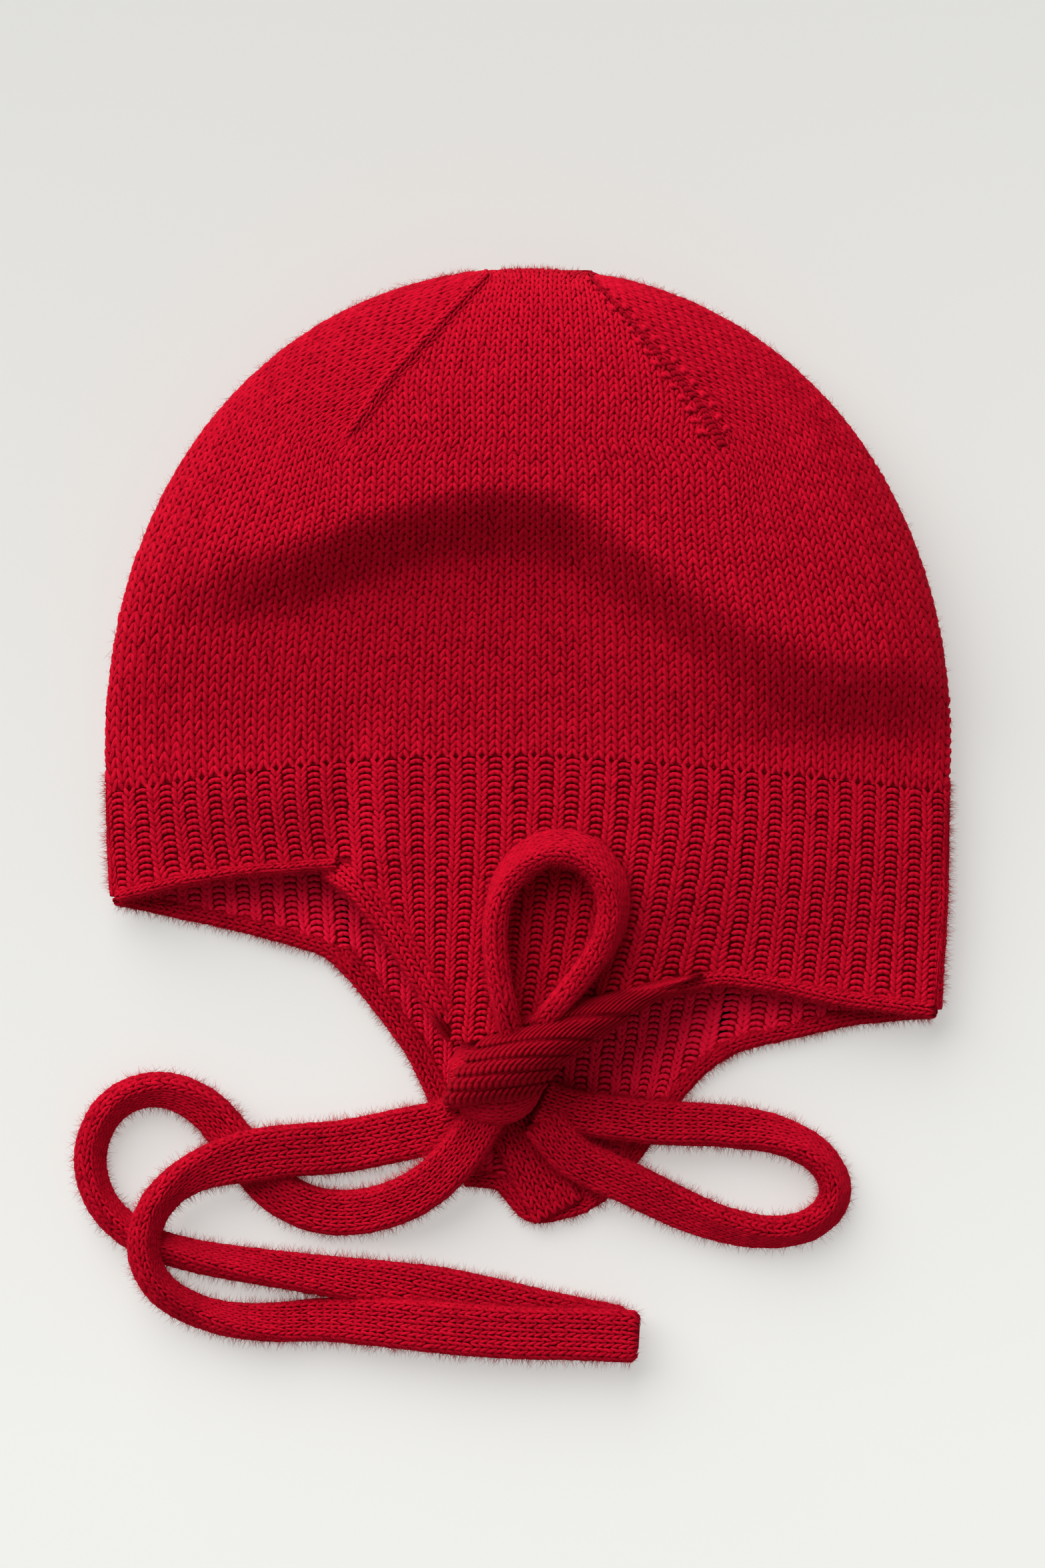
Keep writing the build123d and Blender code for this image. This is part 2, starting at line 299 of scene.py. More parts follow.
def knit_tube(name, line, shape, tilts, body, finish, nodes=(), end_nodes=()):
    """A flat tube's ground and its stitches, with a closed end of its own where it has one."""
    wales, course = shape[2:]
    plain, length = tube_surface(line, shape, tilts, bool(end_nodes))
    inner, _ = tube_surface(line, shape, tilts, bool(end_nodes), ground_inset)
    courses = length / course
    bm = bmesh.new()
    bmesh.ops.create_grid(bm, x_segments=20, y_segments=int(courses), size=0.5)
    grid = np.array([v.co for v in bm.verts])
    spots = inner((grid[:, 0] + 0.5) * wales * 0.99999, (grid[:, 1] + 0.5) * courses)
    for vertex, spot in zip(bm.verts, spots):
        vertex.co = spot * mm
    bmesh.ops.remove_doubles(bm, verts=bm.verts[:], dist=0.05 * mm)
    bmesh.ops.holes_fill(bm, edges=[e for e in bm.edges if e.is_boundary], sides=0)
    bmesh.ops.recalc_face_normals(bm, faces=bm.faces[:])
    mesh = bpy.data.meshes.new(name)
    bm.to_mesh(mesh)
    bm.free()
    # The tube's ground is in the darker yarn: painted shade between its stitches.
    ground = piece(name + " ground", mesh, shade_yarn, body, finish, *nodes)
    last = courses - tip_length / course if end_nodes else courses
    rows = np.arange(0.3, last - 0.3)
    rounds = np.arange(wales) + 0.5
    places = np.array([(u, v) for v in rows for u in rounds])
    cover = stitches(knit_stitch, places, lifted(plain), tube_lift)
    along = [piece(name + " stitches", cover, yarn, body, finish)]
    if end_nodes:
        rows = np.arange(rows[-1] + 1, courses - 0.25)
        places = np.array([(u, v) for v in rows for u in rounds])
        tip = stitches(knit_stitch, places, lifted(plain), tube_lift)
        along.append(piece(name + " closed end", tip, yarn, body, finish, *end_nodes))
    return ground, along, length


fibre_thick, fibre_curl = 0.13, 1.6


def fibre(bm):
    """One straight, tapering hair, one unit high and one unit thick."""
    bmesh.ops.create_cone(bm, segments=3, radius1=0.5, radius2=0.0, depth=1.0)
    bmesh.ops.translate(bm, verts=bm.verts[:], vec=(0, 0, 0.5))


def tube_sides(shape):
    """The two wales, as shares of a turn, at the side edges of a flat tube."""
    width, thickness = shape[:2]
    flat, arc = width - thickness, pi * thickness / 2
    turn = 2 * (flat + arc)
    return (flat + arc / 2) / turn, (2 * flat + 1.5 * arc) / turn


def fuzz(name, surface, wales, courses, count, reach, body, finish, sides=()):
    """Loose hairs that stand off brushed yarn, between two wales and two courses, most at its sides."""
    mesh, local = copies(fibre, count)
    u, v = chance.uniform(*wales, count), chance.uniform(*courses, count)
    if sides:
        at_side = chance.uniform(0, 1, count) < 0.75
        beside = np.array(sides)[chance.integers(0, 2, count)] * wales[1]
        beside = beside + chance.normal(0, 0.06 * wales[1], count)
        u = np.where(at_side, beside, u)
    root = surface(u, v, np.full(count, 0.2))
    long = reach * chance.uniform(0.35, 1.0, count) ** 1.5
    tip = surface(u + chance.normal(0, 0.5, count), v + chance.normal(0, 0.6, count), long)
    tip = np.maximum(tip, (-1e9, -1e9, 0.15))
    lean = tip - root
    side = np.cross(lean, chance.normal(0, 1, (count, 3)))
    side /= np.linalg.norm(side, axis=1, keepdims=True)
    other = np.cross(lean, side)
    other /= np.linalg.norm(other, axis=1, keepdims=True)
    share = local[:, :, 2:3]
    bend = side[:, None] * (share * (1 - share)) * fibre_curl
    points = root[:, None] + lean[:, None] * share + bend
    points += (side[:, None] * local[:, :, 0:1] + other[:, None] * local[:, :, 1:2]) * fibre_thick
    return piece(name, put(mesh, points), yarn, body, finish)


def tie(name, body, route, tilts, nodes, end_nodes=()):
    line = centreline(name, route)
    ground, along, length = knit_tube(
        name, line, tie_shape, tilts, body, "tubular_knit_tie", nodes, end_nodes)
    plain, length = tube_surface(line, tie_shape, tilts, bool(end_nodes))
    wales, course = tie_shape[2:]
    along.append(fuzz(
        name + " fuzz", lifted(plain, -1.0), (0, wales), (0.5, length / course - 0.5), int(length * 46), 4.2,
        body, "tubular_knit_tie", tube_sides(tie_shape)))
    length * mm


loop_on_hat = 29.95
upper_route = [(-4.5, -84, 23.0)] + [(x, y, loop_on_hat) for x, y in (
    (-6.6, -76), (-9.2, -63), (-9.8, -49), (-5.5, -36), (5.5, -28),
    (18, -30), (25.5, -40.5), (24.5, -54), (16.5, -65.5), (8.5, -75))] + [(3, -82, 23.0)]
upper_tilts = (
    (0, 86, 0.8), (0.3, 84, 0.8), (0.42, 54, 0.78), (0.55, 48, 0.8), (0.66, 64, 0.8), (0.8, 82, 0.8),
    (1, 86, 0.8))
tie(
    "upper bow loop", "upper_loop", upper_route, upper_tilts, ("upper_bow_loop",))

on_flap, on_table = 8.74, 5.34
side_route = [
    (3.5, -103.5, 11.5), (11, -107, on_flap), (23, -108.5, on_flap), (38, -110.5, on_flap),
    (56, -111, on_table + 0.8), (74, -113.5, on_table), (87, -120, on_table), (92.5, -131, on_table),
    (86, -140.5, on_table), (73, -143.5, on_table), (58, -141, on_table), (44, -135.5, on_table + 0.8),
    (31, -128.5, on_flap), (20, -124, on_flap), (11, -119, on_flap + 1), (4, -108.5, 11)]
side_tilts = (
    (0, 8, 0.85), (0.3, 16, 0.8), (0.45, 56, 0.62), (0.6, 56, 0.62), (0.75, 26, 0.8), (1, 8, 0.85))
tie(
    "side bow loop", "side_loop", side_route, side_tilts, ("side_bow_loop",))

left_route = [
    (-11, -104, 9.0), (-21, -110.5, 6.4), (-37, -114, 6.1), (-55, -118, 4), (-72, -118.5, 9),
    (-86, -120.5, 12), (-99, -124.5, 12), (-110, -133.5, 11), (-114.5, -147, 12), (-109, -160, 10),
    (-95, -168, 4), (-77, -170, 3), (-59, -168.5, 6), (-41, -169.5, 8.4), (-22, -171, 9.9),
    (-3, -172.5, 9.4), (16, -172.5, 9.4), (33, -173.5, 9.4)]
left_tilts = (
    (0, 0, 0.9), (0.1, 0, 1), (0.27, 6, 1), (0.36, 45, 0.66), (0.43, 58, 0.56), (0.53, 50, 0.56),
    (0.62, 20, 0.75), (0.78, 0, 0.98), (1, 0, 1))
tie(
    "left tie", "tails", left_route, left_tilts,
    ("left_tie_tail",), ("left_tie_end",))

right_route = [
    (-8.5, -101, 15.0), (-15, -112, 12.8), (-21, -121, 12.8), (-31, -130.5, 10.4), (-46, -137, 5),
    (-62, -137.5, 3), (-76, -130.5, 3), (-86, -117, 3), (-95.5, -105, 3), (-109, -99.5, 3),
    (-123, -104, 3), (-130.5, -118, 3), (-127.5, -134, 3), (-115, -145.5, 3), (-97, -150.5, 3),
    (-77, -153.5, 3), (-56, -156.5, 3), (-35, -159, 3), (-13, -163.5, 3), (9, -169, 3), (29, -173, 3)]
right_tilts = (
    (0, 0, 0.8), (0.08, 0, 0.82), (0.2, 4, 0.86), (0.33, 20, 0.8), (0.41, 45, 0.62), (0.5, 56, 0.55),
    (0.6, 52, 0.55), (0.7, 24, 0.7), (0.84, 0, 0.95), (1, 0, 1))
tie(
    "right tie", "tails", right_route, right_tilts,
    ("right_tie_tail",), ("right_tie_end",))


# Crown gores. Four tapering panels of stocking stitch make the top of the hat: one faces up, one lies
# on the table, and one is folded in half at each side. They narrow from 34 wales to a point.
fold_height = 11.0
ridge_height, trough_height, rim_height = 50.0, 28.5, 23.0
gore_wales, gore_courses, hat_courses = 34, 32, 74
slope_share = 0.35  # how far steep fabric stretches its stitches
top_fold_course = 6
hat_lift = -0.2  # stitches lie this far into the fabric's middle surface
apex = np.array((3.7, 126.0))
ridge_line = np.array([
    (-117, 62), (-87, 63), (-67, 66), (-48, 73), (-28, 78), (-8, 81), (12, 78), (31, 64), (51, 50),
    (71, 37), (91, 28)])
trough_line = np.array([
    (-91, 34), (-67, 38), (-48, 47), (-28, 52), (-8, 55), (12, 52), (31, 37), (51, 23), (71, 11), (91, 5)])


def smooth(t):
    t = np.clip(t, 0, 1)
    return t * t * (3 - 2 * t)


def half_width(y):
    rise = np.clip((y + 1) / 142, 0, 1)
    dome = 124.8 * (1 - rise**2.1) ** (1 / 2.1)
    return np.where(y > -1, dome, 124.8 - 3 * np.clip((-1 - y) / 45, 0, 1))


def crown_height(x, y):
    """Height along the hat, before it falls away to the side folds."""
    ridge = np.interp(x, *ridge_line.T)
    trough = np.interp(x, *trough_line.T)
    t = np.clip((y - ridge) / (141.2 - ridge), 0, 1)
    above = fold_height + (ridge_height - fold_height) * (1 - t**2.6) ** (1 / 2.6)
    slack = trough_height + (ridge_height - trough_height) * smooth((y - trough) / (ridge - trough) / 0.85)
    low = rim_height + (trough_height - rim_height) * smooth(y / trough)
    folded = np.where(y > trough, slack, low)
    plain = rim_height + (ridge_height - rim_height) * smooth(y / ridge)
    depth = smooth((x + 122) / 60) * smooth((88 - x) / 60)
    below = plain + (folded - plain) * depth
    crease = smooth((y + 40) / 12) * smooth((16 - y) / 20)
    crease = crease * (1.6 * np.exp(-(((x + 41) / 8) ** 2)) - 2.6 * np.exp(-(((x + 53) / 6) ** 2)))
    return np.where(y > ridge, above, below) + crease


def near_height(x, y):
    across = np.clip(1 - (x / half_width(y)) ** 2, 0, 1) ** 0.425
    nape_drop = 9 * smooth((-25 - y) / 45) * smooth((x - 28) / 25)
    drop = nape_drop + 6 * smooth((-8 - y) / 28) * smooth((-50 - x) / 12)
    return fold_height + (crown_height(x, y) - fold_height - drop) * across


def edge_distance(x, y):
    """How far a place is inside the outline, about."""
    dome = (np.abs(x / 124.8) ** 2.1 + np.clip((y + 1) / 142, 0, 2) ** 2.1) ** (1 / 2.1)
    return np.where(y > -1, (1 - dome) * 130, half_width(y) - np.abs(x))


def far_height(x, y):
    roll = np.clip(1 - edge_distance(x, y) / 16, 0, 1)
    return 1.2 + (fold_height - 1.2) * (1 - np.sqrt(1 - roll * roll))


def outline(side):
    """Points down one side fold, from the top to the rib, and the run along them."""
    y = 141 - 154 * np.linspace(0, 1, 1500) ** 2
    x = np.maximum(half_width(y), 0) * side
    start = -11.0 if side < 0 else 18.5
    keep = np.abs(x) >= abs(start)
    points = np.stack((x[keep], y[keep]), 1)
    run = np.concatenate(([0], np.cumsum(np.linalg.norm(np.diff(points, axis=0), axis=1))))
    return points, run


def row_path(table, c):
    """A point moving along (course, x, y) rows."""
    table = np.array(table, float)
    return np.array((np.interp(c, table[:, 0], table[:, 1]), np.interp(c, table[:, 0], table[:, 2])))


def resampled(points, height, count):
    """count + 1 points, evenly spaced along a line laid over the surface."""
    z = height(points[:, 0], points[:, 1])
    line = np.column_stack((points, z))
    steps = np.diff(line, axis=0) * (1, 1, slope_share)
    run = np.concatenate(([0], np.cumsum(np.linalg.norm(steps, axis=1))))
    at = np.linspace(0, run[-1], count + 1)
    return np.stack([np.interp(at, run, line[:, i]) for i in range(3)], -1)


def half_row(centre, corner, fold, height, rounding):
    """From the middle of a gore over its seam to the fold: two lots of 17 wales."""
    middle = 60
    t = np.linspace(0, 1, middle + 1)[:, None]
    inner = centre + (corner - centre) * t
    outer = corner + (fold - corner) * np.sin(t * pi / 2)
    line = np.concatenate((inner, outer[1:]))
    if rounding > 0:
        ease = np.exp(-((np.arange(-40, 41) / (rounding * 20)) ** 2))
        ease /= ease.sum()
        wide = np.concatenate((2 * line[0] - line[40:0:-1], line, 2 * line[-1] - line[-2:-42:-1]))
        line = np.stack([np.convolve(wide[:, i], ease, "valid") for i in range(2)], -1)
    first = resampled(line[: middle + 1], height, 17)
    second = resampled(line[middle:], height, 17)
    return np.concatenate((first, second[1:]))


def hat_grid():
    """Where every wale and course of the hat lies, in millimetres: courses down by wales round."""
    near_y = np.linspace(141, -2, 600)
    middle = np.column_stack((np.full(600, 3.0), near_y))
    line = np.column_stack((middle, near_height(middle[:, 0], near_y) * slope_share))
    run = np.concatenate(([0], np.cumsum(np.linalg.norm(np.diff(line, axis=0), axis=1))))
    rows = np.arange(top_fold_course, hat_courses + 1)
    row_y = np.interp((rows - top_fold_course) / (hat_courses - top_fold_course) * run[-1], run, near_y)
    left_edge, left_run = outline(-1)
    right_edge, right_run = outline(1)
    near_left = np.array([(141, -11), (137, -11), (104, -41), (83, -55), (-3, -58)], float)[::-1]
    near_right = np.array([(141, 18.5), (137, 18.5), (99, 50), (81, 60), (-6, 62)], float)[::-1]
    grid = np.zeros((hat_courses + 1, 137, 3))
    for row, y in zip(rows, row_y):
        share = (row - top_fold_course) / (hat_courses - top_fold_course)
        fade = smooth((row - 34) / 35.0)
        sag = 5.0 * share**3
        corner_left = np.array((np.interp(y, *near_left.T), y - 0.2 * sag))
        corner_right = np.array((np.interp(y, *near_right.T), y - 0.8 * sag))
        fold_left = np.array([np.interp(share * left_run[-1], left_run, left_edge[:, i]) for i in (0, 1)])
        fold_right = np.array([np.interp(share * right_run[-1], right_run, right_edge[:, i]) for i in (0, 1)])
        centre = np.array((np.interp(row, (6, 32, 74), (3.5, 2.5, 2.0)), y))
        rounding = 1.6 * fade
        near_l = half_row(centre, corner_left, fold_left, near_height, rounding)
        near_r = half_row(centre, corner_right, fold_right, near_height, rounding)
        far_c = row_path([(0, *apex), (32, 2.5, 75), (74, 2, -8)], row)
        far_l = row_path([(0, *apex), (15, -31, 107), (32, -55, 83), (74, -60, -9)], row)
        far_r = row_path([(0, *apex), (17, 37, 106), (32, 60, 81), (74, 62, -9)], row)
        under_l = half_row(far_c, far_l, fold_left, far_height, rounding)
        under_r = half_row(far_c, far_r, fold_right, far_height, rounding)
        grid[row, 0:18] = near_l[17::-1]
        grid[row, 17:35] = near_r[:18]
        grid[row, 34:52] = near_r[17:]
        grid[row, 51:69] = under_r[:16:-1]
        grid[row, 68:86] = under_r[17::-1]
        grid[row, 85:103] = under_l[:18]
        grid[row, 102:120] = under_l[17:]
        grid[row, 119:137] = near_l[:16:-1]
    for row in range(top_fold_course):
        share = row / top_fold_course
        plan = apex + (grid[top_fold_course, :, :2] - apex) * share
        grid[row, :, :2] = plan
        grid[row, :, 2] = far_height(plan[:, 0], plan[:, 1])
    return grid


hat = hat_grid()


def from_grid(u, v):
    """A place on the hat at wale u (0 to 136, round) and course v."""
    u = np.mod(u, 136)
    v = np.clip(v, 0, hat_courses)
    i, j = np.floor(u).astype(int), np.minimum(np.floor(v).astype(int), hat_courses - 1)
    fu, fv = (u - i)[..., None], (v - j)[..., None]
    a, b = hat[j, i], hat[j, i + 1]
    c, d = hat[j + 1, i], hat[j + 1, i + 1]
    return (a * (1 - fu) + b * fu) * (1 - fv) + (c * (1 - fu) + d * fu) * fv


def gore_plain(number):
    """A gore's own wales, counted from its middle, as places on the hat."""

    def plain(u, v):
        wales = np.clip(v + 2.0, 2.0, gore_wales)
        return from_grid(17 + 34 * number + np.clip(17 * u / (wales / 2), -17.3, 17.3), v)

    return plain


ground_wall = 0.8


def ground_sheet(name, plain, u_range, v_range, steps, depth, body, finish, nodes=(), sign=1.0):
    """The knitted fabric's own layer under its stitches, thin and closed at its edges."""
    bm = bmesh.new()
    bmesh.ops.create_grid(bm, x_segments=steps[0], y_segments=steps[1], size=0.5)
    grid = np.array([v.co for v in bm.verts])
    u = (grid[:, 0] + 0.5) * (u_range[1] - u_range[0]) + u_range[0]
    v = (grid[:, 1] + 0.5) * (v_range[1] - v_range[0]) + v_range[0]
    spots = lifted(plain, sign)(u, v, np.full(len(u), -depth))
    for vertex, spot in zip(bm.verts, spots):
        vertex.co = spot * mm
    bmesh.ops.remove_doubles(bm, verts=bm.verts[:], dist=0.03 * mm)
    mesh = bpy.data.meshes.new(name)
    bm.to_mesh(mesh)
    bm.free()
    # The layer is in the darker yarn: painted shade between the stitches.
    made = piece(name, mesh, shade_yarn, body, finish, *nodes)
    wall = made.modifiers.new("wall", "SOLIDIFY")
    wall.thickness = ground_wall * mm
    wall.offset = 0


def full_gore(plain):
    """A gore spread over its own width, whose wales -17 to 17 reach both of its seams at every course."""

    def wide(u, v):
        return plain(u * np.clip(v + 2.0, 2, gore_wales) / gore_wales, v)

    return wide


gore_names = ("left crown gore", "back crown gore", "right crown gore", "front crown gore")
for number, name in enumerate(gore_names):
    places = []
    folded = number % 2 == 1
    for row in range(7 if folded else 1, gore_courses + 1):
        wales = min((row + 2) // 2 * 2, gore_wales)
        spread = np.arange(wales) - (wales - 1) / 2
        places += [(u, row - 0.5) for u in spread]
    plain = gore_plain(number)
    cover = piece(
        name + " stitches",
        stitches(knit_stitch, np.array(places), lifted(plain), hat_lift),
        yarn, "hat", "stocking_stitch",
    )
    ground_sheet(
        name, full_gore(plain), (-17, 17), (6.3 if folded else 0.3, 32.5), (34, 32), 0.9,
        "hat", "stocking_stitch", (name.replace(" ", "_"),))


# Crown body. Below the gores the hat is one tube of stocking stitch, 136 wales round, that drops to the
# ribbed border. It is slack here, so it sags into a deep fold under the puffed crown.
for number, name in enumerate(("left", "back", "right", "front")):
    rows = np.arange(gore_courses, hat_courses) + 0.5
    places = np.array([(u, v) for v in rows for u in np.arange(34) + 0.5 + 34 * number])
    piece(
        "crown body stitches " + name,
        stitches(knit_stitch, places, lifted(from_grid), hat_lift),
        yarn, "hat", "stocking_stitch",
    )
ground_sheet(
    "crown body", from_grid, (0, 135.9999), (gore_courses - 0.3, hat_courses), (136, 49), 0.9,
    "hat", "stocking_stitch", ("crown_body",))


for name, wales, courses, count, reach in (
    ("front fold fuzz", (113, 125), (8, hat_courses), 3600, 2.8),
    ("back fold fuzz", (45, 57), (8, hat_courses), 3600, 2.8),
    ("crown top fuzz", (4, 30), (4, 9), 500, 2.4),
    ("left side fuzz", (-14, 48), (8, hat_courses), 6000, 1.6),
):
    fuzz(name, lifted(from_grid), wales, courses, count, reach, "hat", "stocking_stitch")


# Ribbed border. Knit and purl wales alternate, so it stands in ridges and grips the head. At the brow
# and the nape it ends in a plain edge, and over each ear it goes on down as a flap.
rib_course, knit_lift = 1.85, 0.1
near_rim = np.array([
    (-121.5, -120.8, -43), (-104, -101, -39.5), (-87, -84, -36.5), (-70, -67.5, -34.5), (-55, -53, -33.5),
    (-49, -47, -42), (-42, -39, -53), (-34, -32, -64), (-26, -27, -75), (-17, -21, -86), (-8, -13, -86),
    (2, -4, -82), (14, 6, -78), (26, 15, -75), (36, 24, -72), (46, 35, -70), (56, 47, -67), (64, 58, -66),
    (76, 71.5, -69), (96, 91.5, -73.5), (121, 119.8, -76.5)], float)
far_rim = np.array([
    (-121.5, -120.8, -43), (-87, -85, -51.5), (-54, -52, -61), (-44, -42, -76), (-34, -33, -89),
    (-26, -27, -101), (-18, -23, -115), (-10, -19, -127), (-2, -8, -127), (8, 0, -140), (16, 6, -139.5),
    (24, 14, -137.5), (32, 21.4, -134), (41, 28, -124), (50, 36, -113), (58, 45, -101), (65, 57, -89.5),
    (78, 74, -84), (98, 95, -79), (121, 119.8, -76.5)], float)


def rib_plain(first_wale, direction, rim, height):
    """Wales k from -34 to 34 across one face of the border, v courses down from the crown."""
    ks = np.arange(-34, 35)
    tops = hat[hat_courses, np.mod(17 + direction * ks + first_wale, 136)]
    ends_x = np.interp(tops[:, 0], rim[:, 0], rim[:, 1])
    ends_y = np.interp(tops[:, 0], rim[:, 0], rim[:, 2])
    lengths = tops[:, 1] - ends_y

    def plain(u, v):
        x0, y0 = np.interp(u, ks, tops[:, 0]), np.interp(u, ks, tops[:, 1])
        x1, y1 = np.interp(u, ks, ends_x), np.interp(u, ks, ends_y)
        t = v * rib_course / np.interp(u, ks, lengths)
        x = x0 + (x1 - x0) * np.maximum(t, 0) ** 1.8
        y = y0 + (y1 - y0) * t
        return np.stack((x, y, height(x, y)), -1)

    return plain, ks, lengths


def rib_stitch(bm):
    """A knit stitch in the rib, drawn out narrow and steep."""
    for side in (-1, 1):
        leg = bmesh.ops.create_uvsphere(bm, u_segments=5, v_segments=4, radius=1)["verts"]
        bmesh.ops.rotate(bm, verts=leg, matrix=Matrix.Rotation(pi / 2, 3, "X"))
        bmesh.ops.scale(bm, verts=leg, vec=(0.235, 0.86, 0.52))
        lean = Matrix(((1, side * -0.24, 0), (0, 1, 0), (0, 0, 1)))
        bmesh.ops.transform(bm, verts=leg, matrix=lean.to_4x4())
        bmesh.ops.translate(bm, verts=leg, vec=(side * 0.22, 0, 0))


def purl_bump(bm):
    """The head of a purl stitch: two small curls side by side."""
    for side in (-1, 1):
        bow = bmesh.ops.create_uvsphere(bm, u_segments=5, v_segments=4, radius=1)["verts"]
        bmesh.ops.rotate(bm, verts=bow, matrix=Matrix.Rotation(pi / 2, 3, "Y"))
        bmesh.ops.scale(bm, verts=bow, vec=(0.36, 0.47, 0.5))
        lean = Matrix(((1, 0, 0), (side * 0.5, 1, 0), (0, 0, 1)))
        bmesh.ops.transform(bm, verts=bow, matrix=lean.to_4x4())
        bmesh.ops.translate(bm, verts=bow, vec=(side * 0.2, 0, 0))


def rib_places(ks, lengths, lowest, highest, knit):
    places = []
    for k, length in zip(ks, lengths):
        if k < lowest or k > highest or (k % 2 == 0) != knit:
            continue
        places += [(k, row + 0.5) for row in range(int(length / rib_course))]
    return np.array(places, float)


def rib_face(name, plain, ks, lengths, lowest, highest, sign, nodes=(), thread=yarn):
    raised = lifted(plain, sign)
    knit = rib_places(ks, lengths, lowest, highest, True)
    purl = rib_places(ks, lengths, lowest, highest, False)
    wales = [
        piece(name + " knit wales", stitches(rib_stitch, knit, raised, knit_lift), thread, "hat", "rib_knit"),
        piece(name + " purl wales", stitches(purl_bump, purl, raised, 0.0), thread, "hat", "rib_knit"),
    ]
    low, high = max(lowest - 1, -34), min(highest + 1, 34)

    def share(u, v):
        return plain(u, v * np.interp(u, ks, lengths) / rib_course)

    ground_sheet(
        name, share, (low, high), (-0.01, 0.985), (int(high - low) * 2, 40), 1.3, "hat", "rib_knit",
        nodes, sign)


near_face, ks, near_lengths = rib_plain(0, 1, near_rim, near_height)
rib_face("brow rib near", near_face, ks, near_lengths, -34, -15, 1.0, ("brow_rib_band",))
rib_face("left ear flap", near_face, ks, near_lengths, -14, 16, 1.0, ("left_ear_flap",))
rib_face("nape rib near", near_face, ks, near_lengths, 17, 34, 1.0, ("nape_rib_band",))

far_face, ks, far_lengths = rib_plain(68, -1, far_rim, far_height)
rib_face("brow rib far", far_face, ks, far_lengths, -33, -15, -1.0)
rib_face("right ear flap", far_face, ks, far_lengths, -14, 16, -1.0, ("right_ear_flap",))
rib_face("nape rib far", far_face, ks, far_lengths, 17, 33, -1.0)

def inner_height(x, y):
    return far_height(x, y) + 2.4


inner_face, ks, inner_lengths = rib_plain(68, -1, far_rim, inner_height)
# A brighter copy of the red yarn for the inside of the far layer: painted light on fabric that the near layer
# shades.
inside = red_yarn("red yarn inside, painted light", (0.75, 0.004, 0.03), (1.0, 0.012, 0.06), 2600.0)
rib_face("far rib inside", inner_face, ks, inner_lengths, -32, 32, 1.0, (), inside)


band_thickness, band_course = 3.2, 2.1


def edge_band(name, route, height, width):
    """A bound edge: a narrow band knitted along the border's lower edge."""
    plan = np.array(route, float)
    run = np.concatenate(([0], np.cumsum(np.linalg.norm(np.diff(plan, axis=0), axis=1))))
    at = np.linspace(0, run[-1], int(run[-1] / 1.5))
    plan = np.stack([np.interp(at, run, plan[:, i]) for i in (0, 1)], -1)
    ease = np.exp(-((np.arange(-4, 5) / 2.5) ** 2))
    wide = np.concatenate((2 * plan[0] - plan[4:0:-1], plan, 2 * plan[-1] - plan[-2:-6:-1]))
    plan = np.stack([np.convolve(wide[:, i], ease / ease.sum(), "valid") for i in (0, 1)], -1)
    line = np.column_stack((plan, height(plan[:, 0], plan[:, 1])))
    wales = max(5, int(round((2 * width + 3) / 2.9)))
    shape, level = (width, band_thickness, wales, band_course), ((0, 0, 1), (1, 0, 1))
    knit_tube(name, line, shape, level, "hat", "rib_knit")
    plain, length = tube_surface(line, shape, level, False)
    fuzz(
        name + " fuzz", lifted(plain, -1.0), (0, wales), (0.5, length / band_course - 0.5),
        int(length * 40), 4.0, "hat", "rib_knit", tube_sides(shape))


def near_edge(x, y):
    return near_height(x, y) - 0.9 - 11 * smooth((-75 - y) / 9) * smooth((0 - x) / 6)


def far_edge(x, y):
    return np.maximum(far_height(x, y) + 0.8, 2.8)


def flap_edge(x, y):
    return near_edge(x, y) - 3 * smooth((y + 42) / 8)


def fold_edge(x, y):
    return near_height(x, y) * 0.5 + far_height(x, y) * 0.5


for name, height, width, route in (
    ("brow edge near", near_edge, 2.6,
     [(-121.2, -43.3), (-104, -39), (-87, -36), (-70, -34.5), (-55, -33.5)]),
    ("left flap edge", flap_edge, 7.5,
     [(-58, -34), (-49, -40.5), (-41, -50.5), (-33, -62.5), (-26, -74.5), (-19.5, -85)]),
    ("nape edge near", near_edge, 4.0,
     [(36, -71), (47, -69), (57, -67), (72, -69), (93, -73.5), (120.2, -76.8)]),
    ("brow edge far", far_edge, 4.2,
     [(-121.2, -43.6), (-104, -47.5), (-87, -51), (-72, -55), (-60, -58.5), (-51, -65)]),
    ("brow fold", fold_edge, 3.6, [(-122.3, -6), (-122, -25), (-121, -43.5)]),
    ("nape fold", fold_edge, 3.6, [(122.4, -8), (121.8, -45), (120, -76.8)]),
    ("right flap edge front", far_edge, 6.5,
     [(-56, -60), (-50, -66), (-42, -76), (-33, -88), (-27, -100), (-22, -115), (-19, -127)]),
    ("right flap edge tip", far_edge, 4.2,
     [(-19, -127), (-8, -127.5), (0.5, -138.5), (10, -137), (18, -134.5)]),
    ("right flap edge back", far_edge, 4.2,
     [(17, -134.5), (23, -131), (30, -122), (43, -103), (51, -94), (60, -88)]),
    ("nape edge far", far_edge, 4.2, [(55, -91), (62, -87), (75, -84), (97, -79), (120.2, -77)]),
):
    edge_band(name, route, height, width)


# Gore seams and closure. The gores are linked edge to edge with the same yarn, and drawn together at
# the top. The back seam closes the tube down the nape fold.
def seam_line(wale, first, last, pitch=1.0):
    rows = np.arange(first, last, pitch)
    return np.array([(wale, v) for v in rows])


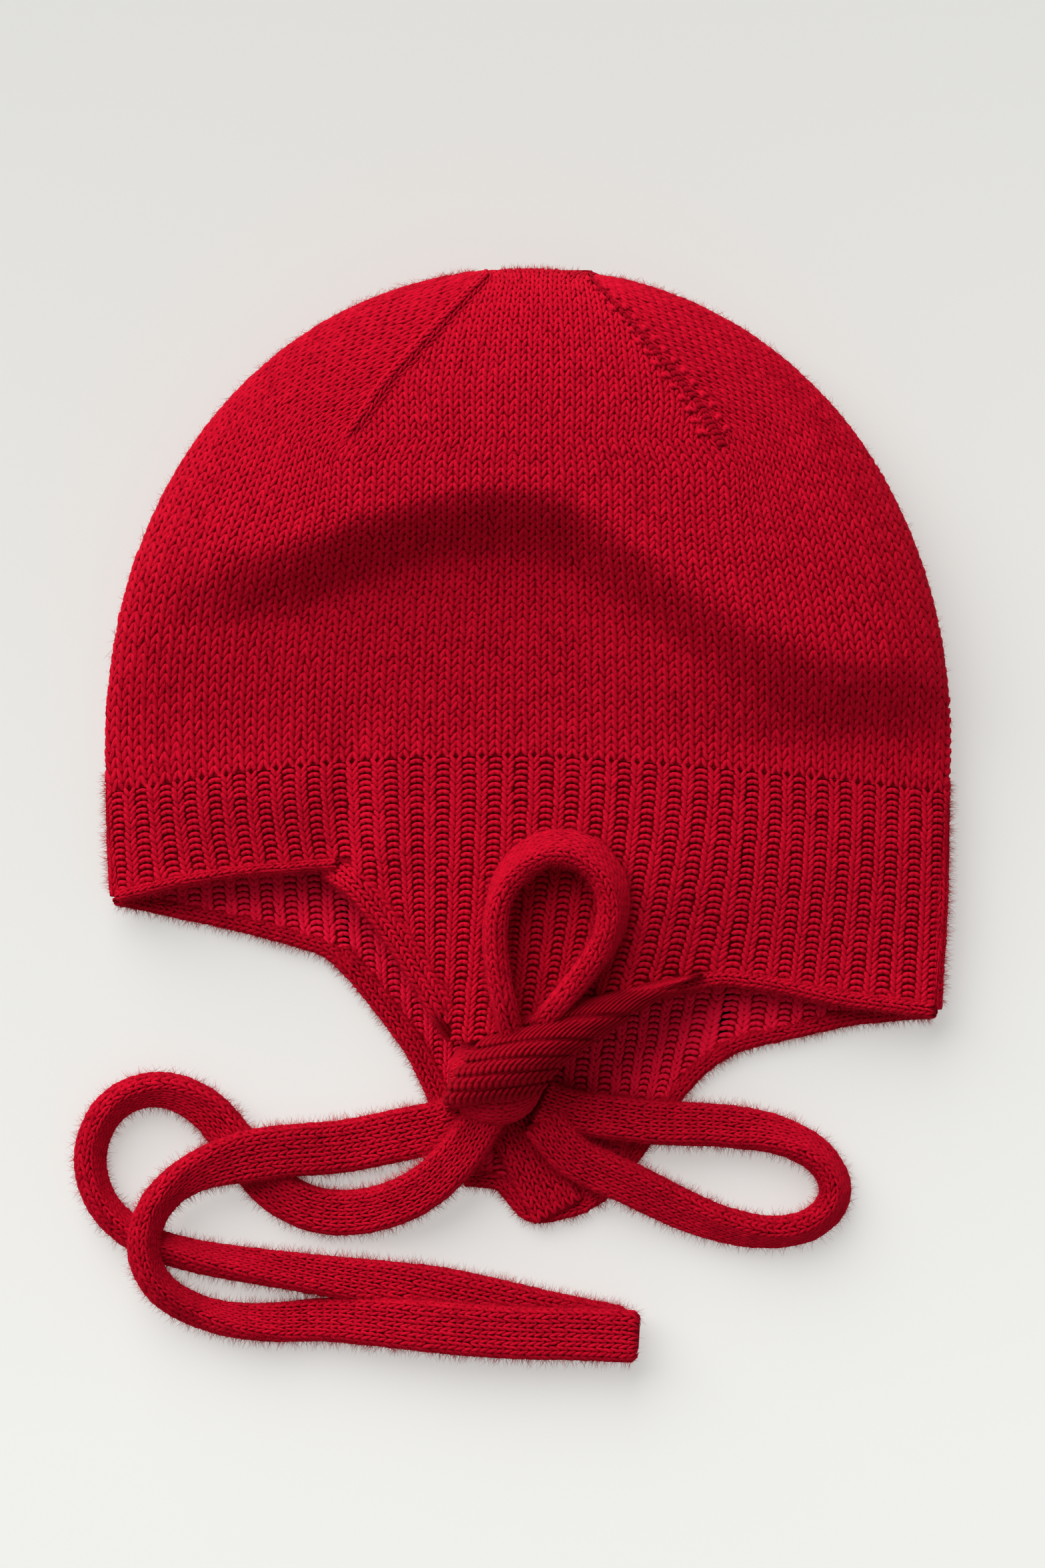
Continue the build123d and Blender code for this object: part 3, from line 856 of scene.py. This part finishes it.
seam_rows = np.linspace(9.0, 35, 60)
sunk = -0.35 - 2.2 * smooth((seam_rows - 29) / 6) - 1.5 * smooth((12 - seam_rows) / 3)
sunk = np.column_stack((np.zeros(60), np.zeros(60), sunk))
chain = from_grid(np.full(60, 0.0), seam_rows) + sunk
knit_tube(
    "front left gore seam", chain, (4.6, 1.9, 5, 2.3), ((0, 14, 1), (1, 14, 1)), "hat", "linking_yarn",
    ("front_left_gore_seam",))
for name, wale, raised in (
    ("back left gore seam", 34, 0.25),
    ("back right gore seam", 68, 0.0),
    ("front right gore seam", 102, 0.0),
):
    mesh = stitches(purl_bump, seam_line(wale, 6.5, 33, 0.7), lifted(from_grid), raised)
    # These seam stitches are in the darker yarn: painted shade along the seam line.
    piece(name, mesh, shade_yarn, "hat", "linking_yarn", name.replace(" ", "_"))
for wale in (32.6, 35.4):
    mesh = stitches(purl_bump, seam_line(wale, 8.5, 32, 1.5), lifted(from_grid), 0.35)
    piece("fashioning marks " + ("left" if wale < 34 else "right"), mesh, yarn, "hat", "linking_yarn")
drawn_in = np.array([(u, 1.0) for u in range(0, 136, 11)])
mesh = stitches(knit_stitch, drawn_in, lifted(from_grid), 0.2)
piece("crown closure", mesh, yarn, "hat", "linking_yarn", "crown_closure")
mesh = stitches(purl_bump, seam_line(51, 33, 74), lifted(from_grid), 0.1)
piece("back seam", mesh, yarn, "hat", "linking_yarn", "back_seam")


# Right flap's end. The ribbed flap narrows to a flat strip of the same knit, turns over on itself and
# comes out from under the knot.
turned = np.column_stack((
    np.linspace(-6.5, 9.5, 30), np.linspace(-106, -137.5, 30), np.linspace(5.4, 4.2, 30)))
turned_shape, turned_tilts = (15.5, 4.0, 13, 2.3), ((0, 8, 1), (1, 0, 1))
knit_tube("right flap end", turned, turned_shape, turned_tilts, "hat", "rib_knit")
turned_plain, _ = tube_surface(turned, turned_shape, turned_tilts, False)
fuzz(
    "right flap end fuzz", lifted(turned_plain, -1.0), (0, 13), (2, 15), 900, 3.4, "hat", "rib_knit")


# Knot. The left flap's end is twisted and wraps over the ties, so its ribs run almost level across it.
# Under it the two ties cross and are pulled tight.
starts = np.array([
    (-5, -79.5), (-9.5, -82.5), (-14, -86.5), (-17.5, -90.5), (-20.5, -94.5), (-22.8, -98.5),
    (-24.2, -102.5), (-24.2, -106.5)])
ends = np.array([
    (53, -65.2), (38, -72.5), (25.5, -81), (17, -86.5), (11.5, -90.5), (7.5, -94.5), (4.5, -99), (1.5, -104)])


def wrap_plain(u, v):
    """Rib u (0 to 7) and share v (0 to 1) along it."""
    at = np.arange(8)
    start = np.stack([np.interp(u, at, starts[:, i]) for i in (0, 1)], -1)
    end = np.stack([np.interp(u, at, ends[:, i]) for i in (0, 1)], -1)
    place = start + (end - start) * v[..., None]
    across = np.clip(u / 7, 0, 1)
    bulge = np.clip(4 * across * (1 - across), 0, 1) ** 0.45
    cover = np.clip(4 * v * (1 - v), 0, 1) ** 0.5
    high = 14 + 21 * bulge * (0.25 + 0.75 * cover) + 3 * (1 - across) * v
    place[..., 1] += 2.0 * np.sin(pi * v) * (1 - across)
    return np.concatenate((place, high[..., None]), -1)


wrap_lift = lifted(wrap_plain)
rows = []
for rib in range(7):
    span = np.linalg.norm(ends[rib] - starts[rib])
    count = int(span / 1.9)
    rows += [(rib + 0.5, (n + 0.5) / count, count) for n in range(count)]
rows = np.array(rows)


def wrap_stitches(shape, where, height):
    mesh, local = copies(shape, len(where))
    u = local[:, :, 0] * 0.8 + where[:, 0:1]
    v = local[:, :, 1] / where[:, 2:3] + where[:, 1:2]
    return put(mesh, wrap_lift(u, v, local[:, :, 2] + height))


twist = wrap_stitches(knit_stitch, rows, 0.8)
piece("left flap twist", twist, yarn, "hat", "rib_knit", "left_flap_twist")
between = rows.copy()
between[:, 0] += 0.5
valleys = wrap_stitches(purl_bump, between[between[:, 0] < 7], -0.9)
# The purl valleys are in the darker yarn: painted shade between the ribs.
piece("left flap twist purl", valleys, shade_yarn, "hat", "rib_knit")

bm = bmesh.new()
bmesh.ops.create_grid(bm, x_segments=14, y_segments=24, size=0.5)
spots = np.array([v.co for v in bm.verts])
spots = wrap_plain(0.1 + 6.8 * (spots[:, 0] + 0.5), spots[:, 1] + 0.5) - (0, 0, 0.6)
for vertex, spot in zip(bm.verts, spots):
    vertex.co = spot * mm
bmesh.ops.solidify(bm, geom=bm.faces[:], thickness=4.5 * mm)
bmesh.ops.recalc_face_normals(bm, faces=bm.faces[:])
mesh = bpy.data.meshes.new("left flap twist ground")
bm.to_mesh(mesh)
bm.free()
# The twist's ground is in the darker yarn: painted shade between its stitches.
piece("left flap twist ground", mesh, shade_yarn, "hat", "rib_knit")
wrap_courses = 22


def wrap_by_course(u, v, h):
    return wrap_lift(u, v / wrap_courses, h)


fuzz("left flap twist fuzz", wrap_by_course, (0, 7), (0.4, 21), 1300, 3.0, "hat", "rib_knit")

knot_centre, knot_size = np.array((-9.5, -97.0, 14.0)), np.array((14.0, 13.5, 11.0))
bm = bmesh.new()
bmesh.ops.create_icosphere(bm, subdivisions=4, radius=1)
bmesh.ops.scale(bm, verts=bm.verts[:], vec=knot_size * mm)
bmesh.ops.translate(bm, verts=bm.verts[:], vec=knot_centre * mm)
mesh = bpy.data.meshes.new("knot")
bm.to_mesh(mesh)
bm.free()
# The knot's ball is in the darker yarn: painted shade between its stitches.
piece("bow knot", mesh, shade_yarn, "hat", "rib_knit", "bow_knot")


def knot_plain(u, v):
    """Wale u (0 to 24, round) and course v (0 to 18, from one end to the other) over the knot."""
    turn, fall = 2 * pi * u / 24, pi * v / 18
    level = np.stack((np.cos(fall), np.sin(fall) * np.cos(turn), np.sin(fall) * np.sin(turn)), -1)
    return knot_centre + level * knot_size


places = np.array([(u + 0.5, v + 0.5) for v in range(2, 16) for u in range(24)])
mesh = stitches(knit_stitch, places, lifted(knot_plain, -1.0), 0.0)
piece("bow knot stitches", mesh, yarn, "hat", "rib_knit")


# Floor. The hat lies on a plain pale sweep, painted a little brighter towards the ties as painted light
# falloff. About half of its brightness is painted glow of its own, which keeps the shadows on it weak.
floor_material = bpy.data.materials.new("pale floor, painted glow")
floor_material.use_nodes = True
tree = floor_material.node_tree
start = Sum(tree, None)
place = Sum(tree, start.node("ShaderNodeTexCoord").outputs["Object"])
parts = start.node("ShaderNodeSeparateXYZ", {}, Vector=place)
# Painted light falloff: the floor's colour darkens towards the crown.
painted_light_ramp = Sum(tree, parts.outputs["Y"]) * 2.2 + 0.45
floor_colour_and_glow = start.node(
    "ShaderNodeMix", {"data_type": "RGBA", "clamp_factor": True}, n0=painted_light_ramp,
    n6=(0.43, 0.427, 0.412, 1), n7=(0.36, 0.357, 0.342, 1))
tree.links.new(floor_colour_and_glow.outputs[2], tree.nodes["Principled BSDF"].inputs["Base Color"])
# The floor glows in its own colour: painted light.
tree.links.new(floor_colour_and_glow.outputs[2], tree.nodes["Principled BSDF"].inputs["Emission Color"])
tree.nodes["Principled BSDF"].inputs["Emission Strength"].default_value = 1.02
tree.nodes["Principled BSDF"].inputs["Roughness"].default_value = 1.0
tree.nodes["Principled BSDF"].inputs["Specular IOR Level"].default_value = 0.0
bm = bmesh.new()
bmesh.ops.create_grid(bm, x_segments=1, y_segments=1, size=3.0)
mesh = bpy.data.meshes.new("floor")
bm.to_mesh(mesh)
bm.free()
mesh.materials.append(floor_material)
floor = bpy.data.objects.new("floor", mesh)
bpy.context.scene.collection.objects.link(floor)


# Light. One broad soft light stands beyond the crown, a little to the left, so the sag behind the
# ridge falls in shade. An even, slightly cool room fills in the rest.
world = bpy.data.worlds.new("room")
world.use_nodes = True
world.node_tree.nodes["Background"].inputs["Color"].default_value = (0.95, 0.97, 1.0, 1)
world.node_tree.nodes["Background"].inputs["Strength"].default_value = 0.33
bpy.context.scene.world = world
key = bpy.data.lights.new("key", "SUN")
key.angle = 1.15
key.energy = 4.0
key_light = bpy.data.objects.new("key", key)
key_light.location = (-0.55, 0.85, 0.68)
aim = Vector((0, 0, 0)) - key_light.location
key_light.rotation_euler = aim.to_track_quat("-Z", "Y").to_euler()
bpy.context.scene.collection.objects.link(key_light)
bpy.context.scene.view_settings.view_transform = "Standard"
